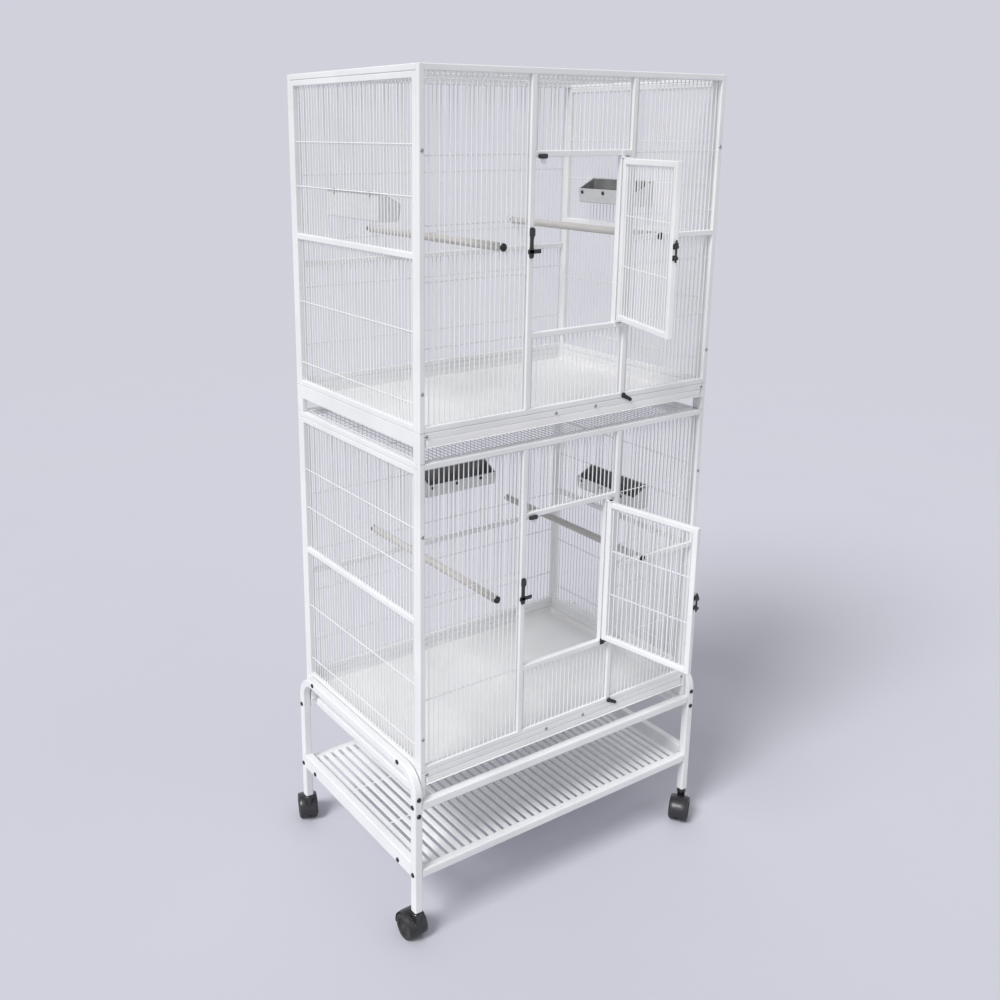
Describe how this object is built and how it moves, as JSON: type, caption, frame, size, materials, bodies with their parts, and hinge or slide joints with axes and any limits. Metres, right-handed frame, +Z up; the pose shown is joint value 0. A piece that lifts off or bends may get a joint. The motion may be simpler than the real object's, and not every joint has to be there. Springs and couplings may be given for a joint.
{
  "type": "double stack flight cage",
  "caption": "Two wide wire flight cages with front doors, perches, feeding troughs and slide-out trays, stacked on a wheeled stand with a slatted shelf.",
  "frame": {"origin": "on the floor under the middle of the two cages", "axes": "+Z up, the doors face -Y, +X is to the right of a person facing the doors"},
  "size_m": [0.8895, 0.8318, 1.88],
  "materials": {
    "white_coat": "white powder coat, satin",
    "white_tray": "white painted sheet",
    "feeder_grey": "light grey painted sheet",
    "black_plastic": "moulded, matt",
    "black_metal": "black satin coat",
    "zinc_steel": "plated, dull",
    "perch_wood": "plain turned dowel",
    "caster_plastic": "black nylon",
    "wheel_nylon": "black nylon tread"
  },
  "bodies": {
    "stand": {"upper_front_frame": "white_coat", "upper_front_grille": "white_coat", "upper_back_panel": "white_coat", "upper_left_panel": "white_coat", "upper_right_panel": "white_coat", "upper_top_panel": "white_coat", "upper_base_frame": "white_coat", "upper_latch_keeper": "black_plastic", "upper_left_perch": "perch_wood", "upper_right_perch": "perch_wood", "lower_front_frame": "white_coat", "lower_front_grille": "white_coat", "lower_back_panel": "white_coat", "lower_left_panel": "white_coat", "lower_right_panel": "white_coat", "lower_top_panel": "white_coat", "lower_base_frame": "white_coat", "lower_latch_keeper": "black_plastic", "lower_left_perch": "perch_wood", "lower_right_perch": "perch_wood", "panel_screws": "zinc_steel", "perch_screws": "black_metal", "tray_hook_pivots": "black_metal", "stand_bolts": "black_metal", "door_hinge_brackets": "black_metal", "door_hinge_pins": "black_metal", "door_stops": "black_plastic", "left_hoop": "white_coat", "right_hoop": "white_coat", "front_rail": "white_coat", "back_rail": "white_coat", "inner_rails": "white_coat", "shelf_frame": "white_coat", "shelf_slats": "white_coat"},
    "lower_door": {"lower_door_leaf": "white_coat", "lower_latch_guides": "black_plastic"},
    "lower_latch": {"lower_latch_bar": "black_metal"},
    "lower_litter_tray": {"lower_tray": "white_tray"},
    "lower_hook": {"lower_tray_hook": "black_metal"},
    "upper_door": {"upper_door_leaf": "white_coat", "upper_latch_guides": "black_plastic"},
    "upper_latch": {"upper_latch_bar": "black_metal"},
    "upper_litter_tray": {"upper_tray": "white_tray"},
    "upper_hook": {"upper_tray_hook": "black_metal"},
    "upper_left_trough": {"upper_left_feeder": "feeder_grey"},
    "upper_right_trough": {"upper_right_feeder": "feeder_grey"},
    "lower_back_trough": {"lower_back_feeder": "feeder_grey"},
    "lower_right_trough": {"lower_right_feeder": "feeder_grey"},
    "front_left_swivel": {"front_left_caster_hood": "caster_plastic", "front_left_caster_axle": "zinc_steel"},
    "front_left_wheels": {"front_left_caster_wheels": "wheel_nylon"},
    "front_right_swivel": {"front_right_caster_hood": "caster_plastic", "front_right_caster_axle": "zinc_steel"},
    "front_right_wheels": {"front_right_caster_wheels": "wheel_nylon"},
    "back_left_swivel": {"back_left_caster_hood": "caster_plastic", "back_left_caster_axle": "zinc_steel"},
    "back_left_wheels": {"back_left_caster_wheels": "wheel_nylon"},
    "back_right_swivel": {"back_right_caster_hood": "caster_plastic", "back_right_caster_axle": "zinc_steel"},
    "back_right_wheels": {"back_right_caster_wheels": "wheel_nylon"}
  },
  "joints": [
    {"name": "lower_door_hinge", "type": "hinge", "parent": "stand", "child": "lower_door", "pos_m": [0.108, -0.276, 0.7715], "axis": [0, 0, 1], "range_deg": [-100, 65]},
    {"name": "lower_latch_lift", "type": "slide", "parent": "lower_door", "child": "lower_latch", "axis": [0, 0, 1], "range_m": [0, 0.012]},
    {"name": "lower_tray_slide", "type": "slide", "parent": "stand", "child": "lower_litter_tray", "axis": [0, -1, 0], "range_m": [0, 0.45]},
    {"name": "lower_hook_turn", "type": "hinge", "parent": "stand", "child": "lower_hook", "pos_m": [0.1385, -0.268, 0.4265], "axis": [0, 1, 0], "range_deg": [-60, 60]},
    {"name": "upper_door_hinge", "type": "hinge", "parent": "stand", "child": "upper_door", "pos_m": [0.108, -0.276, 1.5335], "axis": [0, 0, 1], "range_deg": [-71.3, 93.7]},
    {"name": "upper_latch_lift", "type": "slide", "parent": "upper_door", "child": "upper_latch", "axis": [0, 0, 1], "range_m": [0, 0.012]},
    {"name": "upper_tray_slide", "type": "slide", "parent": "stand", "child": "upper_litter_tray", "axis": [0, -1, 0], "range_m": [0, 0.45]},
    {"name": "upper_hook_turn", "type": "hinge", "parent": "stand", "child": "upper_hook", "pos_m": [0.1385, -0.268, 1.1885], "axis": [0, 1, 0], "range_deg": [-60, 60]},
    {"name": "upper_left_trough_lift", "type": "slide", "parent": "stand", "child": "upper_left_trough", "axis": [0, 0, 1], "range_m": [0, 0.012]},
    {"name": "upper_right_trough_lift", "type": "slide", "parent": "stand", "child": "upper_right_trough", "axis": [0, 0, 1], "range_m": [0, 0.012]},
    {"name": "lower_back_trough_lift", "type": "slide", "parent": "stand", "child": "lower_back_trough", "axis": [0, 0, 1], "range_m": [0, 0.012]},
    {"name": "lower_right_trough_lift", "type": "slide", "parent": "stand", "child": "lower_right_trough", "axis": [0, 0, 1], "range_m": [0, 0.012]},
    {"name": "front_left_caster_turn", "type": "hinge", "parent": "stand", "child": "front_left_swivel", "pos_m": [-0.4185, -0.2685, 0.08], "axis": [0, 0, 1], "continuous": true},
    {"name": "front_left_wheel_roll", "type": "hinge", "parent": "front_left_swivel", "child": "front_left_wheels", "pos_m": [-0.4185, -0.2465, 0.03], "axis": [-1, 0, 0], "continuous": true},
    {"name": "front_right_caster_turn", "type": "hinge", "parent": "stand", "child": "front_right_swivel", "pos_m": [0.4185, -0.2685, 0.08], "axis": [0, 0, 1], "continuous": true},
    {"name": "front_right_wheel_roll", "type": "hinge", "parent": "front_right_swivel", "child": "front_right_wheels", "pos_m": [0.40026, -0.2808, 0.03], "axis": [0.5592, -0.829, 0], "continuous": true},
    {"name": "back_left_caster_turn", "type": "hinge", "parent": "stand", "child": "back_left_swivel", "pos_m": [-0.4185, 0.2545, 0.08], "axis": [0, 0, 1], "continuous": true},
    {"name": "back_left_wheel_roll", "type": "hinge", "parent": "back_left_swivel", "child": "back_left_wheels", "pos_m": [-0.41098, 0.27517, 0.03], "axis": [-0.9397, 0.342, 0], "continuous": true},
    {"name": "back_right_caster_turn", "type": "hinge", "parent": "stand", "child": "back_right_swivel", "pos_m": [0.4185, 0.2545, 0.08], "axis": [0, 0, 1], "continuous": true},
    {"name": "back_right_wheel_roll", "type": "hinge", "parent": "back_right_swivel", "child": "back_right_wheels", "pos_m": [0.4075, 0.27355, 0.03], "axis": [-0.866, -0.5, 0], "continuous": true}
  ]
}
